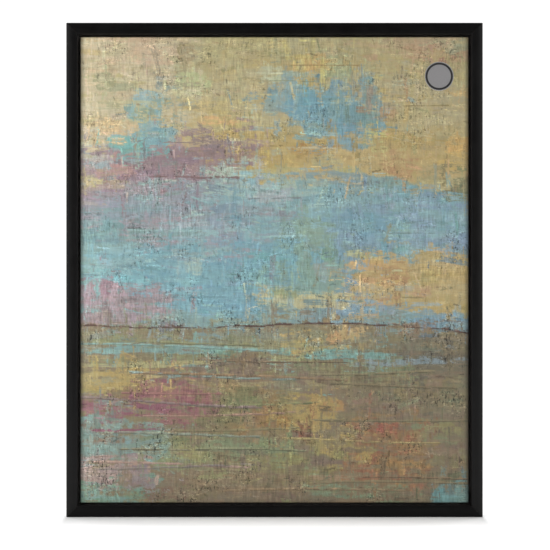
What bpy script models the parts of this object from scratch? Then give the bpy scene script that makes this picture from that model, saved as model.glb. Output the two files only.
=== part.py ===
"""A 20 x 24 inch stretched canvas in a black floater frame, standing on its bottom edge.

Blender 4.5:  blender --background --python part.py
Metres, +Z up. The painted face looks along -Y, and +X is to the right of someone who looks at it.
The origin is the middle of the frame's bottom edge, halfway through the frame's depth.

Every rail, stretcher bar and corner key is drawn in the frame of its own side: local X runs from the
side's outer edge towards the picture's middle, local Y is the depth, front to back, and local Z runs
along the side. Turning that frame about Y gives the left, top, right and bottom side in turn.
"""

from collections import namedtuple
from math import asin, cos, degrees, pi, radians, sin, sqrt

import bmesh
import bpy
from mathutils import Matrix, Vector

INCH = 0.0254
MM = 0.001

# Driving dimensions
CANVAS_WIDTH = 20 * INCH
CANVAS_HEIGHT = 24 * INCH
FLOAT_GAP = 3.2 * MM  # dark gap between the canvas and the frame
FACE_WIDTH = 14.7 * MM  # the frame's front face
FRAME_DEPTH = 32 * MM
LEDGE_REACH = 20 * MM  # how far the ledge behind the canvas comes in from the wall
LEDGE_THICKNESS = 6.5 * MM
FACE_PROUD = 6.3 * MM  # how far the face stands in front of the canvas
CLOTH = 0.6 * MM  # primed cotton
BAR_WIDTH = 38 * MM
FLAP = 30 * MM  # canvas folded onto the back of the bars
EDGE_ROUND = 0.8 * MM
FACE_CAMBER = 40 * MM  # radius of the front face's slight curve, edge to edge
GAP = 0.3 * MM  # between faces that touch
PAST = 2 * MM  # how far a cutter reaches past what it cuts

# Worked out from them
FRAME_WIDTH = CANVAS_WIDTH + 2 * (FLOAT_GAP + FACE_WIDTH)
FRAME_HEIGHT = CANVAS_HEIGHT + 2 * (FLOAT_GAP + FACE_WIDTH)
MIDDLE_Z = FRAME_HEIGHT / 2
FRONT_Y = -FRAME_DEPTH / 2
BACK_Y = FRAME_DEPTH / 2
LEDGE_Y = BACK_Y - LEDGE_THICKNESS
CANVAS_FRONT_Y = FRONT_Y + FACE_PROUD
CANVAS_BACK_Y = LEDGE_Y - GAP
BAR_FRONT_Y = CANVAS_FRONT_Y + CLOTH + GAP
BAR_BACK_Y = CANVAS_BACK_Y - CLOTH - GAP
BARS_WIDTH = CANVAS_WIDTH - 2 * (CLOTH + GAP)
BARS_HEIGHT = CANVAS_HEIGHT - 2 * (CLOTH + GAP)

# A stretcher bar's end, front to back: a mitred cheek, two layers for tongue and slot, a mitred cheek
LAYER_1_Y = -3.5 * MM
LAYER_2_Y = 0.2 * MM
LAYER_3_Y = 3.9 * MM
LIP_WIDTH = 4.2 * MM  # the raised front edge that the canvas turns over
LIP_ROUND = 1.8 * MM
BAR_FRONT_DROP = 1.9 * MM  # behind the lip, the bar's front falls back from the canvas
BAR_INNER_DROP = 3.4 * MM

# Corner keys: wedges that spread the bars
KEY_LENGTH = 36 * MM
KEY_TAIL = 12 * MM  # height of the thick end
KEY_TIP = 3 * MM
KEY_OUT = 12 * MM  # how much of a driven key stands out of its slot
KEY_THICKNESS = 3 * MM
KEY_CHAMFER = 1.5 * MM
KEY_SLOPE = (KEY_TAIL - KEY_TIP) / KEY_LENGTH

STAPLE_CROWN = 12 * MM
STAPLE_LEG = 5 * MM
STAPLE_WIRE = (1.0 * MM, 0.5 * MM)  # width and thickness
STAPLE_INSET = 21 * MM  # from the canvas's outer edge
STAPLES_LONG_SIDE = 6
STAPLES_SHORT_SIDE = 5
CORNER_TO_STAPLE = 47 * MM  # from the canvas's corner to the first staple

# Pan head screws: radius of head and shank, height of the head, length under it
Screw = namedtuple("Screw", "head shank head_height length")
CANVAS_SCREW = Screw(4 * MM, 1.9 * MM, 2.3 * MM, 14 * MM)
STRAP_SCREW = Screw(3.2 * MM, 1.4 * MM, 1.8 * MM, 7.6 * MM)
CANVAS_SCREW_INSET = FACE_WIDTH + FLOAT_GAP + 9 * MM  # from the frame's outer edge
CANVAS_SCREW_SHARE = 0.26  # on a long side, of its length, each way from its middle
COUNTERBORE_RADIUS = 4.8 * MM
COUNTERBORE_DEPTH = 2.7 * MM

V_NAIL_THICKNESS = 0.5 * MM
V_NAIL_POINT = 11 * MM  # from both outer edges of the frame
V_NAIL_LEG = 6.5 * MM
V_NAIL_HEIGHT = 10 * MM
V_NAIL_SUNK = 0.4 * MM

HANGER_Z = 0.68 * FRAME_HEIGHT
HANGER_PIVOT_INSET = 31 * MM  # from the frame's outer edge
STRAP_LENGTH = 28 * MM
STRAP_WIDTH = 11 * MM
STRAP_THICKNESS = 2.2 * MM  # two layers of folded sheet
KNUCKLE_RADIUS = 2.4 * MM
RING_WIRE = 1.0 * MM  # radius
RING_HALF_WIDTH = 7.5 * MM
RING_SIDE = 5 * MM  # straight part of the ring, bar to bow
RING_CORNER = 2 * MM
STRAP_SCREWS_AT = (9 * MM, 20.5 * MM)
PIVOT_Y = BACK_Y + GAP + KNUCKLE_RADIUS

BUMPER_RADIUS = 5 * MM
BUMPER_THICKNESS = 3 * MM
BUMPER_FROM_SIDE = 34 * MM
BUMPER_FROM_BOTTOM = 15 * MM

LABEL_RADIUS = 19 * MM
LABEL_THICKNESS = 0.3 * MM
LABEL_FROM_RIGHT = 38.5 * MM  # its middle, from the canvas's edges
LABEL_FROM_TOP = 51.5 * MM

Side = namedtuple("Side", "name angle rail_length rail_reach bar_length bar_reach")
SIDES = (
    Side("left", 0, FRAME_HEIGHT, FRAME_WIDTH / 2, BARS_HEIGHT, BARS_WIDTH / 2),
    Side("top", pi / 2, FRAME_WIDTH, FRAME_HEIGHT / 2, BARS_WIDTH, BARS_HEIGHT / 2),
    Side("right", pi, FRAME_HEIGHT, FRAME_WIDTH / 2, BARS_HEIGHT, BARS_WIDTH / 2),
    Side("bottom", -pi / 2, FRAME_WIDTH, FRAME_HEIGHT / 2, BARS_WIDTH, BARS_HEIGHT / 2),
)
# Which corner lies at each end of a side's local Z
ENDS = {
    "left": {1: "top", -1: "bottom"},
    "top": {1: "right", -1: "left"},
    "right": {1: "bottom", -1: "top"},
    "bottom": {1: "left", -1: "right"},
}


# Scene, collections and materials


def clear_scene():
    for obj in list(bpy.data.objects):
        bpy.data.objects.remove(obj)


def new_collection(name):
    made = bpy.data.collections.new(name)
    bpy.context.scene.collection.children.link(made)
    return made


def new_material(name, colour, roughness, metallic=0.0):
    made = bpy.data.materials.new(name)
    made.use_nodes = True
    shader = made.node_tree.nodes["Principled BSDF"]
    shader.inputs["Base Color"].default_value = (*colour, 1)
    shader.inputs["Roughness"].default_value = roughness
    shader.inputs["Metallic"].default_value = metallic
    return made


# Building blocks


def side_matrix(side, reach):
    """The frame of one side, with its outer edge at this distance from the middle."""
    turn = Matrix.Rotation(side.angle, 4, "Y")
    return Matrix.Translation((0, 0, MIDDLE_Z)) @ turn @ Matrix.Translation((-reach, 0, 0))


def put(obj, collection, matrix=None, material=None, smooth=None):
    """Links obj, places it, gives it its material and, with an angle, smooth shading."""
    collection.objects.link(obj)
    if matrix is not None:
        obj.matrix_world = matrix
    if material is not None:
        obj.data.materials.append(material)
    if smooth is not None:
        obj.data.shade_smooth()
        obj.data.set_sharp_from_angle(angle=smooth)
    if collection is cutters:
        obj.hide_render = True
        obj.display_type = "WIRE"
    return obj


def put_copies(name, mesh, places, material, smooth=None):
    """One object for each place, all with the same mesh, numbered where there are more than one."""
    mesh.materials.append(material)
    for i, place in enumerate(places, 1):
        numbered = f"{name}_{i}" if len(places) > 1 else name
        put(bpy.data.objects.new(numbered, mesh), parts, place, None, smooth)


def mesh_object(name, shape):
    mesh = bpy.data.meshes.new(name)
    shape.to_mesh(mesh)
    shape.free()
    return bpy.data.objects.new(name, mesh)


def gathered(name, placed):
    """One mesh object with the shape of each (object, matrix), which are then removed."""
    shape = bmesh.new()
    for obj, place in placed:
        copy = obj.data.copy()
        copy.transform(place)
        shape.from_mesh(copy)
    for obj in {obj for obj, place in placed}:
        bpy.data.objects.remove(obj)
    return mesh_object(name, shape)


def add_box(shape, low, high, matrix=None):
    """Adds a closed box between two corners to a bmesh."""
    low, high = Vector(low), Vector(high)
    place = Matrix.Translation((low + high) / 2) @ Matrix.Diagonal((*(high - low), 1))
    bmesh.ops.create_cube(shape, size=1, matrix=(matrix or Matrix()) @ place)


def add_cylinder(shape, radius, low_y, high_y, sides=12, matrix=None):
    """Adds a closed cylinder along Y to a bmesh."""
    place = Matrix.Translation((0, (low_y + high_y) / 2, 0)) @ Matrix.Rotation(pi / 2, 4, "X")
    bmesh.ops.create_cone(
        shape, cap_ends=True, segments=sides, radius1=radius, radius2=radius,
        depth=high_y - low_y, matrix=(matrix or Matrix()) @ place,
    )


def arc(centre, radius, start, stop, steps):
    """Points on a circle, from one angle in degrees to another."""
    angles = [radians(start + (stop - start) * i / steps) for i in range(steps + 1)]
    return [(centre[0] + radius * cos(a), centre[1] + radius * sin(a)) for a in angles]


def prism(name, outlines, low, high, along):
    """A mesh object made of flat outlines, the later ones holes, filled and extruded.

    along "Z" draws in X and Y and extrudes from low to high along Z. along "Y" draws in X and Z and
    extrudes along Y.
    """
    curve = bpy.data.curves.new(name, "CURVE")
    curve.dimensions = "2D"
    curve.fill_mode = "BOTH"
    curve.extrude = (high - low) / 2
    for outline in outlines:
        spline = curve.splines.new("POLY")
        spline.points.add(len(outline) - 1)
        spline.use_cyclic_u = True
        for point, (x, y) in zip(spline.points, outline):
            point.co = (x, y, 0, 1)
    obj = solid_from_curve(name, curve)
    obj.data.transform(Matrix.Translation((0, 0, (low + high) / 2)))
    if along == "Y":
        obj.data.transform(Matrix(((1, 0, 0, 0), (0, 0, 1, 0), (0, 1, 0, 0), (0, 0, 0, 1))))
        obj.data.flip_normals()
    return obj


def solid_from_curve(name, curve):
    """A mesh object with a curve's evaluated shape, its caps welded to its sides."""
    guide = bpy.data.objects.new(name + "_guide", curve)
    bpy.context.scene.collection.objects.link(guide)
    graph = bpy.context.evaluated_depsgraph_get()
    mesh = bpy.data.meshes.new_from_object(guide.evaluated_get(graph))
    bpy.data.objects.remove(guide)
    shape = bmesh.new()
    shape.from_mesh(mesh)
    bmesh.ops.remove_doubles(shape, verts=shape.verts, dist=1e-6)
    bmesh.ops.dissolve_limit(shape, angle_limit=radians(0.1), verts=shape.verts, edges=shape.edges)
    bmesh.ops.recalc_face_normals(shape, faces=shape.faces)
    shape.to_mesh(mesh)
    shape.free()
    return bpy.data.objects.new(name, mesh)


def turned(name, profile, sides):
    """A solid of revolution about Y: profile is (radius, y) from the outer side's top down to the axis."""
    mesh = bpy.data.meshes.new(name)
    points = [(radius, 0, y) for radius, y in profile]
    mesh.from_pydata(points, [(i, i + 1) for i in range(len(points) - 1)], [])
    obj = bpy.data.objects.new(name, mesh)
    bpy.context.scene.collection.objects.link(obj)
    screw = obj.modifiers.new("turn", "SCREW")
    screw.axis = "Z"
    screw.steps = screw.render_steps = sides
    screw.use_merge_vertices = True
    screw.merge_threshold = 0.01 * MM
    graph = bpy.context.evaluated_depsgraph_get()
    made = bpy.data.meshes.new_from_object(obj.evaluated_get(graph))
    bpy.data.objects.remove(obj)
    made.transform(Matrix.Rotation(-pi / 2, 4, "X"))
    return bpy.data.objects.new(name, made)


def boolean(obj, other, operation="DIFFERENCE"):
    modifier = obj.modifiers.new(f"{operation.lower()} {other.name}", "BOOLEAN")
    modifier.operation = operation
    modifier.object = other


# The floater frame


def rail_profile():
    """The frame moulding's section: a wall with a cambered front face, and a ledge at its back."""
    middle = FACE_WIDTH / 2
    reach = middle - EDGE_ROUND
    slope = degrees(asin(reach / (FACE_CAMBER - EDGE_ROUND)))
    camber_y = FRONT_Y + FACE_CAMBER
    round_y = camber_y - sqrt((FACE_CAMBER - EDGE_ROUND) ** 2 - reach**2)
    camber = arc((middle, camber_y), FACE_CAMBER, 270 - slope, 270 + slope, 8)
    ledge_end = FACE_WIDTH + LEDGE_REACH
    return [
        *arc((EDGE_ROUND, round_y), EDGE_ROUND, 180, 270 - slope, 3),
        *camber[1:-1],
        *arc((FACE_WIDTH - EDGE_ROUND, round_y), EDGE_ROUND, 270 + slope, 360, 3),
        (FACE_WIDTH, LEDGE_Y),
        (ledge_end, LEDGE_Y),
        (ledge_end, BACK_Y),
        (0, BACK_Y),
    ]


def mitre_outline(length, width):
    """A side seen from the front, cut at 45 degrees at both ends with room for its neighbours."""
    half, room = length / 2, GAP / sqrt(2)
    near, far = -PAST, width + PAST
    return [
        (near, half - near - room),
        (far, half - far - room),
        (far, far - half + room),
        (near, near - half + room),
    ]


def make_rail(side):
    matrix = side_matrix(side, side.rail_reach)
    half = side.rail_length / 2
    rail = prism(f"frame_rail_{side.name}", [rail_profile()], -half, half, "Z")
    put(rail, parts, matrix, black_paint)
    outline = mitre_outline(side.rail_length, FACE_WIDTH + LEDGE_REACH)
    mitre = prism(f"mitre_{side.name}", [outline], FRONT_Y - PAST, BACK_Y + PAST, "Y")
    put(mitre, cutters, matrix)
    boolean(rail, mitre, "INTERSECT")
    return rail


def corner_matrices():
    """The four outer corners of the frame. Local X and Z run inwards along the two sides that meet."""
    half_w, half_h = FRAME_WIDTH / 2, FRAME_HEIGHT / 2
    corners = {
        "bottom_left": (-half_w, -half_h, 0),
        "top_left": (-half_w, half_h, pi / 2),
        "top_right": (half_w, half_h, pi),
        "bottom_right": (half_w, -half_h, -pi / 2),
    }
    return {
        name: Matrix.Translation((x, 0, MIDDLE_Z + z)) @ Matrix.Rotation(turn, 4, "Y")
        for name, (x, z, turn) in corners.items()
    }


def v_nail(name, room, high):
    """One V nail, or with some room all round the slot for it."""
    half = V_NAIL_THICKNESS / 2 + room
    outer, inner, tip = V_NAIL_POINT + half, V_NAIL_POINT - half, V_NAIL_POINT - V_NAIL_LEG - room
    outline = [(outer, outer), (tip, outer), (tip, inner), (inner, inner), (inner, tip), (outer, tip)]
    return prism(name, [outline], BACK_Y - V_NAIL_SUNK - V_NAIL_HEIGHT - room, high, "Y")


def make_v_nails():
    """A V nail across each mitre, driven in from the back, and the slots for them."""
    slots = []
    for corner, place in corner_matrices().items():
        put(v_nail(f"v_nail_{corner}", 0, BACK_Y - V_NAIL_SUNK), parts, place, steel)
        slot = v_nail("v_nail_slot", GAP, BACK_Y + PAST)
        slots.append((slot, place))
    return put(gathered("v_nail_slots", slots), cutters)


# The stretcher


def bar_profile():
    """A stretcher bar's section: a rounded lip at the front's outer edge, and a front that falls back."""
    lip = BAR_FRONT_Y + LIP_ROUND
    return [
        (0, BAR_BACK_Y),
        *arc((LIP_ROUND, lip), LIP_ROUND, 180, 270, 4),
        (LIP_WIDTH, BAR_FRONT_Y),
        (LIP_WIDTH + BAR_FRONT_DROP, BAR_FRONT_Y + BAR_FRONT_DROP),
        (BAR_WIDTH, BAR_FRONT_Y + BAR_INNER_DROP),
        (BAR_WIDTH, BAR_BACK_Y),
    ]


def end_outline(outline, half, end):
    """Moves an outline drawn from the bar's end, inwards negative, to one end of the bar."""
    return [(x, end * (half + z)) for x, z in outline]


def key_floor(x):
    """How far below the corner a key slot's floor lies, at this distance from the bar's outer edge."""
    return 2 * GAP + KEY_TAIL - KEY_SLOPE * (BAR_WIDTH + KEY_OUT - x)


def cut_bar_end(bar, side, matrix, end):
    """The mitred cheeks and the slot of one end. The layer that is left is the tongue."""
    half, far, room = side.bar_length / 2, BAR_WIDTH + PAST, GAP / sqrt(2)
    cheek = [(-PAST, PAST - room), (far, -far - room), (far, 2 * PAST), (-PAST, 2 * PAST)]
    cheek = end_outline(cheek, half, end)
    for name, low, high in (
        ("front", 2 * FRONT_Y, LAYER_1_Y + GAP / 2),
        ("back", LAYER_3_Y - GAP / 2, 2 * BACK_Y),
    ):
        cutter = prism(f"cheek_{name}_{side.name}_{end}", [cheek], low, high, "Y")
        boolean(bar, put(cutter, cutters, matrix))
    slot = [
        (-PAST, PAST), (far, PAST), (far, -BAR_WIDTH - key_floor(far)),
        (BAR_WIDTH - KEY_LENGTH, -BAR_WIDTH - GAP), (-PAST, -BAR_WIDTH - GAP),
    ]
    low, high = slot_layer(end)
    cutter = prism(
        f"slot_{side.name}_{end}", [end_outline(slot, half, end)], low - GAP / 2, high + GAP / 2, "Y"
    )
    boolean(bar, put(cutter, cutters, matrix))


def slot_layer(end):
    """From where to where in depth a bar's end is slotted."""
    return (LAYER_2_Y, LAYER_3_Y) if end > 0 else (LAYER_1_Y, LAYER_2_Y)


def make_bar(side):
    matrix = side_matrix(side, side.bar_reach)
    half = side.bar_length / 2
    bar = prism(f"stretcher_bar_{side.name}", [bar_profile()], -half, half, "Z")
    put(bar, parts, matrix, pine)
    for end in (1, -1):
        cut_bar_end(bar, side, matrix, end)
    return bar


def make_key(side, end):
    """One wedge, driven into the slot at this end of the bar, against the neighbour's tongue.

    Its origin is the inside corner of the two bars, in the middle of the slot, and it slides along X.
    """
    low, high, top = KEY_OUT - KEY_LENGTH, KEY_OUT, -GAP
    bevelled = high - KEY_CHAMFER
    outline = [
        (low, top), (bevelled, top), (high, top - KEY_CHAMFER), (high, top - KEY_TAIL + KEY_CHAMFER),
        (bevelled, top - KEY_TAIL + KEY_SLOPE * KEY_CHAMFER), (low, top - KEY_TIP),
    ]
    outline = [(x, end * z) for x, z in outline]
    half = KEY_THICKNESS / 2
    key = prism(f"corner_key_{side.name}_bar_{ENDS[side.name][end]}", [outline], -half, half, "Y")
    corner = (BAR_WIDTH, sum(slot_layer(end)) / 2, end * (side.bar_length / 2 - BAR_WIDTH))
    return put(key, parts, side_matrix(side, side.bar_reach) @ Matrix.Translation(corner), beech)


def make_canvas():
    """The canvas as a tray: its front, its four turned edges and the flap on the bars' back."""
    half_w, half_h = CANVAS_WIDTH / 2, CANVAS_HEIGHT / 2
    middle = Matrix.Translation((0, 0, MIDDLE_Z))

    def block(name, inset, low_y, high_y):
        shape = bmesh.new()
        across, up = half_w - inset, half_h - inset
        add_box(shape, (-across, low_y, -up), (across, high_y, up))
        return mesh_object(name, shape)

    canvas = block("painted_canvas", 0, CANVAS_FRONT_Y, CANVAS_BACK_Y)
    put(canvas, parts, middle, painted_cotton)
    for cutter in (
        block("canvas_inside", CLOTH, CANVAS_FRONT_Y + CLOTH, CANVAS_BACK_Y - CLOTH),
        block("canvas_opening", FLAP, CANVAS_BACK_Y - 2 * CLOTH, CANVAS_BACK_Y + PAST),
    ):
        boolean(canvas, put(cutter, cutters, middle))
    return canvas


def staple_places(side):
    """The matrix of every staple of one side: X across its wire, Y depth, Z along its crown."""
    long_side = side.name in ("left", "right")
    along, across = (CANVAS_HEIGHT, CANVAS_WIDTH) if long_side else (CANVAS_WIDTH, CANVAS_HEIGHT)
    count = STAPLES_LONG_SIDE if long_side else STAPLES_SHORT_SIDE
    first = along / 2 - CORNER_TO_STAPLE
    origin = side_matrix(side, across / 2)
    return [
        origin @ Matrix.Translation((STAPLE_INSET, 0, first - 2 * first * i / (count - 1)))
        for i in range(count)
    ]


def staple_mesh():
    """A staple: its crown on the canvas, X across the wire, and its two legs in the wood."""
    wide, thick = STAPLE_WIRE
    half, under, point = STAPLE_CROWN / 2, CANVAS_BACK_Y + GAP, CANVAS_BACK_Y + GAP - STAPLE_LEG
    outline = [
        (half, under + thick), (-half, under + thick), (-half, point), (thick - half, point),
        (thick - half, under), (half - thick, under), (half - thick, point), (half, point),
    ]
    staple = prism("staple", [outline], -wide / 2, wide / 2, "Z")
    mesh = staple.data
    mesh.transform(Matrix.Rotation(-pi / 2, 4, "Y"))
    bpy.data.objects.remove(staple)
    return mesh


def make_staples():
    """The staples round the back, and the holes for their legs."""
    wide, thick = STAPLE_WIRE
    half, under = STAPLE_CROWN / 2, CANVAS_BACK_Y + GAP
    mesh, holes = staple_mesh(), bmesh.new()
    for side in SIDES:
        places = staple_places(side)
        put_copies(f"staple_{side.name}", mesh, places, steel)
        for place in places:
            for end in (-half, half - thick):
                low = (-wide / 2 - GAP, under - STAPLE_LEG - GAP, end - GAP)
                high = (wide / 2 + GAP, under + thick / 2, end + thick + GAP)
                add_box(holes, low, high, place)
    return put(mesh_object("staple_leg_holes", holes), cutters)


# Screws, hangers and bumpers


def pan_screw(name, screw, sides=12):
    """A pan head screw with a cross, its head's underside a gap above Y 0 and its point below."""
    head, shank, height, point = screw.head, screw.shank, screw.head_height, -screw.length
    profile = [
        (0, height), (0.55 * head, height), (0.9 * head, 0.7 * height), (head, 0.25 * height),
        (head, 0), (shank, 0), (shank, point + 2 * shank), (0, point),
    ]
    obj = turned(name, profile, sides)
    shape = bmesh.new()
    reach, half = 0.6 * head, 0.14 * head
    for turn in (0, pi / 2):
        low, high = (-reach, 0.45 * height, -half), (reach, 2 * height, half)
        add_box(shape, low, high, Matrix.Rotation(turn, 4, "Y"))
    cross = put(mesh_object(f"{name}_cross", shape), cutters)
    put(obj, parts)
    boolean(obj, cross)
    obj.modifiers[0].use_self = True
    graph = bpy.context.evaluated_depsgraph_get()
    mesh = bpy.data.meshes.new_from_object(obj.evaluated_get(graph))
    mesh.transform(Matrix.Translation((0, GAP, 0)))
    bpy.data.objects.remove(obj)
    bpy.data.objects.remove(cross)
    return mesh


def canvas_screw_places(side):
    """The points on the frame's back where this side's screws reach through the ledge into the bar."""
    origin = side_matrix(side, side.rail_reach)
    shares = (-CANVAS_SCREW_SHARE, CANVAS_SCREW_SHARE) if side.name in ("left", "right") else (0,)
    head_seat = BACK_Y - COUNTERBORE_DEPTH
    return [
        origin @ Matrix.Translation((CANVAS_SCREW_INSET, head_seat, share * side.rail_length))
        for share in shares
    ]


def make_canvas_screws():
    """The screws that hold the stretcher in the frame, and their holes in ledge, canvas flap and bar."""
    mesh = pan_screw("canvas_screw", CANVAS_SCREW)
    mouth, wide = COUNTERBORE_DEPTH + PAST, COUNTERBORE_RADIUS
    floor, bore = -CANVAS_SCREW.length - GAP, CANVAS_SCREW.shank + GAP
    profile = [(0, mouth), (wide, mouth), (wide, 0), (bore, 0), (bore, floor), (0, floor)]
    hole = turned("canvas_screw_hole", profile, 16)
    holes = []
    for side in SIDES:
        places = canvas_screw_places(side)
        put_copies(f"canvas_screw_{side.name}", mesh, places, steel, radians(35))
        holes += [(hole, place) for place in places]
    return put(gathered("canvas_screw_holes", holes), cutters)


def strap_outline():
    """The folded strap from its edge: a flat tail, and a knuckle round the ring's bar."""
    tail, under, top = STRAP_LENGTH, -KNUCKLE_RADIUS, -KNUCKLE_RADIUS + STRAP_THICKNESS
    knuckle = arc((0, 0), KNUCKLE_RADIUS, 270, 20, 8)
    return [(tail, under), *knuckle, (1.5 * KNUCKLE_RADIUS, top), (tail, top)]


def strap_plan():
    """The strap from the back: straight sides and a round tail."""
    half = STRAP_WIDTH / 2
    near = -2 * KNUCKLE_RADIUS
    return [(near, -half), *arc((STRAP_LENGTH - half, 0), half, -90, 90, 8), (near, half)]


def ring_points():
    """The centreline of a D ring, from its bar round its bow, in X and Z."""
    corner_z = RING_HALF_WIDTH - RING_CORNER
    lower = arc((-RING_CORNER, -corner_z), RING_CORNER, 0, -90, 3)
    bow = arc((-RING_SIDE, 0), RING_HALF_WIDTH, 270, 90, 12)
    upper = arc((-RING_CORNER, corner_z), RING_CORNER, 90, 0, 3)
    return [*lower, *bow, *upper]


def make_hanger(name, sign):
    """A strap hanger on a side rail's back, its D ring towards the middle. sign is -1 for left."""
    pivot = Matrix.Translation((sign * (FRAME_WIDTH / 2 - HANGER_PIVOT_INSET), PIVOT_Y, HANGER_Z))
    if sign < 0:
        pivot = pivot @ Matrix.Rotation(pi, 4, "Y")
    half = STRAP_WIDTH / 2
    hole = arc((0, 0), RING_WIRE + GAP, 0, 330, 11)
    strap = prism(f"hanger_strap_{name}", [strap_outline(), hole], -half, half, "Z")
    put(strap, parts, pivot, nickel)
    plan = prism(f"strap_plan_{name}", [strap_plan()], -BACK_Y, BACK_Y, "Y")
    boolean(strap, put(plan, cutters, pivot), "INTERSECT")

    ring = bpy.data.curves.new(f"hanger_ring_{name}", "CURVE")
    ring.dimensions = "3D"
    ring.bevel_depth = RING_WIRE
    ring.bevel_resolution = 2
    spline = ring.splines.new("POLY")
    points = ring_points()
    spline.points.add(len(points) - 1)
    spline.use_cyclic_u = True
    for point, (x, z) in zip(spline.points, points):
        point.co = (x, 0, z, 1)
    put(bpy.data.objects.new(ring.name, ring), parts, pivot, nickel)

    strap_top = STRAP_THICKNESS - KNUCKLE_RADIUS
    places = [pivot @ Matrix.Translation((x, strap_top, 0)) for x in STRAP_SCREWS_AT]
    mesh = pan_screw(f"hanger_screw_{name}", STRAP_SCREW)
    put_copies(f"hanger_screw_{name}", mesh, places, steel, radians(35))
    holes = bmesh.new()
    for place in places:
        add_cylinder(holes, STRAP_SCREW.shank + GAP, -STRAP_SCREW.length, PAST, matrix=place)
    bores = put(mesh_object(f"strap_screw_bores_{name}", holes), cutters)
    boolean(strap, bores)
    return bores


def make_disc(name, radius, low_y, high_y, x, z, sides, material):
    shape = bmesh.new()
    add_cylinder(shape, radius, low_y, high_y, sides=sides)
    place = Matrix.Translation((x, 0, z))
    return put(mesh_object(name, shape), parts, place, material, smooth=radians(40))


def build():
    rails = {side.name: make_rail(side) for side in SIDES}
    bars = {side.name: make_bar(side) for side in SIDES}
    canvas = make_canvas()
    for side in SIDES:
        for end in (1, -1):
            make_key(side, end)

    nail_slots = make_v_nails()
    leg_holes = make_staples()
    screw_holes = make_canvas_screws()
    strap_bores = {name: make_hanger(name, sign) for name, sign in (("left", -1), ("right", 1))}
    for name, rail in rails.items():
        boolean(rail, nail_slots)
        boolean(rail, screw_holes)
        if name in strap_bores:
            boolean(rail, strap_bores[name])
    for obj in (*bars.values(), canvas):
        boolean(obj, screw_holes)
        boolean(obj, leg_holes)

    for name, sign in (("left", -1), ("right", 1)):
        make_disc(
            f"wall_bumper_{name}", BUMPER_RADIUS, BACK_Y + GAP, BACK_Y + GAP + BUMPER_THICKNESS,
            sign * (FRAME_WIDTH / 2 - BUMPER_FROM_SIDE), BUMPER_FROM_BOTTOM, 20, rubber,
        )
    label_back = CANVAS_FRONT_Y - GAP
    make_disc(
        "round_label", LABEL_RADIUS, label_back - LABEL_THICKNESS, label_back,
        CANVAS_WIDTH / 2 - LABEL_FROM_RIGHT, MIDDLE_Z + CANVAS_HEIGHT / 2 - LABEL_FROM_TOP, 48, label_paper,
    )


clear_scene()
parts = new_collection("framed stretched canvas")
cutters = new_collection("cutters")
black_paint = new_material("black paint", (0.012, 0.011, 0.011), 0.45)
pine = new_material("pine", (0.62, 0.45, 0.27), 0.6)
beech = new_material("beech", (0.66, 0.5, 0.33), 0.55)
painted_cotton = new_material("painted cotton", (0.42, 0.45, 0.38), 0.55)
steel = new_material("zinc plated steel", (0.6, 0.6, 0.6), 0.35, 1.0)
nickel = new_material("nickel plated steel", (0.66, 0.65, 0.62), 0.3, 1.0)
rubber = new_material("black rubber", (0.06, 0.06, 0.06), 0.7)
label_paper = new_material("label paper", (0.35, 0.34, 0.35), 0.4)
build()
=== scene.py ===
"""A framed stretched canvas: the looks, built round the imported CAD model.

Metres, +Z up, the painted face looks along -Y. The painting is an abstract landscape of this script's
own making. It is laid in paint layers over a grid of points on the cloth: each layer has a colour, a
grip that says where the paint caught the cloth, and a thickness that stands up as relief.
"""

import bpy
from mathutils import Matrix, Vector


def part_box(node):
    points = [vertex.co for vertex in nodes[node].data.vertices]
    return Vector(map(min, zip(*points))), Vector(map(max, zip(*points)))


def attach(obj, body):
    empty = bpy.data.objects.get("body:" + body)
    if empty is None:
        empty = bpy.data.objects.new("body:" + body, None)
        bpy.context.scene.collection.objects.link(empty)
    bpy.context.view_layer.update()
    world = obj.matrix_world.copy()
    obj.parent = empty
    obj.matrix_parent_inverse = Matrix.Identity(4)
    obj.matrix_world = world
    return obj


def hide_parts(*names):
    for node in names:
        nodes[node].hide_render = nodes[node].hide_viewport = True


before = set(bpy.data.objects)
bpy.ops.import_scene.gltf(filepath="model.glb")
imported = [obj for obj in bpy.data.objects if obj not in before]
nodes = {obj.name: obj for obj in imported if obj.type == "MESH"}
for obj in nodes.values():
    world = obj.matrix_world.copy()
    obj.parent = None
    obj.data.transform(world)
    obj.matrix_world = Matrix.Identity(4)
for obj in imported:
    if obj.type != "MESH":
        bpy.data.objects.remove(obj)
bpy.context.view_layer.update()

from math import cos, pi, radians, sin

import bpy
import numpy as np
from mathutils import Vector

MM = 0.001
ROOT = "frame_and_canvas"

# The cloth
CLOTH = 0.6 * MM
FOLD = 1.6 * MM  # radius of the cloth's turned edges and corners
CORNER_STEPS = 4  # faces round each of its corners
FLAP = 30 * MM  # turned onto the back of the bars
TRIM = 0.8 * MM  # by which the flap's cut edge falls short of that, so that its fraying has room
SEAM = 0.3 * MM  # rounding left at the flap's mitred corners
THREAD = 1.05 * MM  # from one thread of the weave to the next
COLUMNS, ROWS = 400, 480  # cells of the painted face
BACK_STEP = 8  # the cloth's back has one cell for this many each way

canvas_low, canvas_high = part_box("painted_canvas")
WIDTH, HEIGHT = canvas_high.x - canvas_low.x, canvas_high.z - canvas_low.z
MIDDLE_Z = (canvas_low.z + canvas_high.z) / 2
FRONT_Y, BACK_Y = canvas_low.y, canvas_high.y
DEPTH = BACK_Y - FRONT_Y

# The frame's outside, and its sight edge, where the face ends over the float gap
LEDGE_REACH = 20 * MM
left_low, left_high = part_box("frame_rail_left")
OUTER_X = abs(left_low.x)
OUTER_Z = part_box("frame_rail_top")[1].z - MIDDLE_Z
FRAME_FRONT_Y, FRAME_BACK_Y = left_low.y, left_high.y
SIGHT_X = abs(left_high.x) + LEDGE_REACH
SIGHT_Z = HEIGHT / 2 + SIGHT_X - WIDTH / 2


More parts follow.
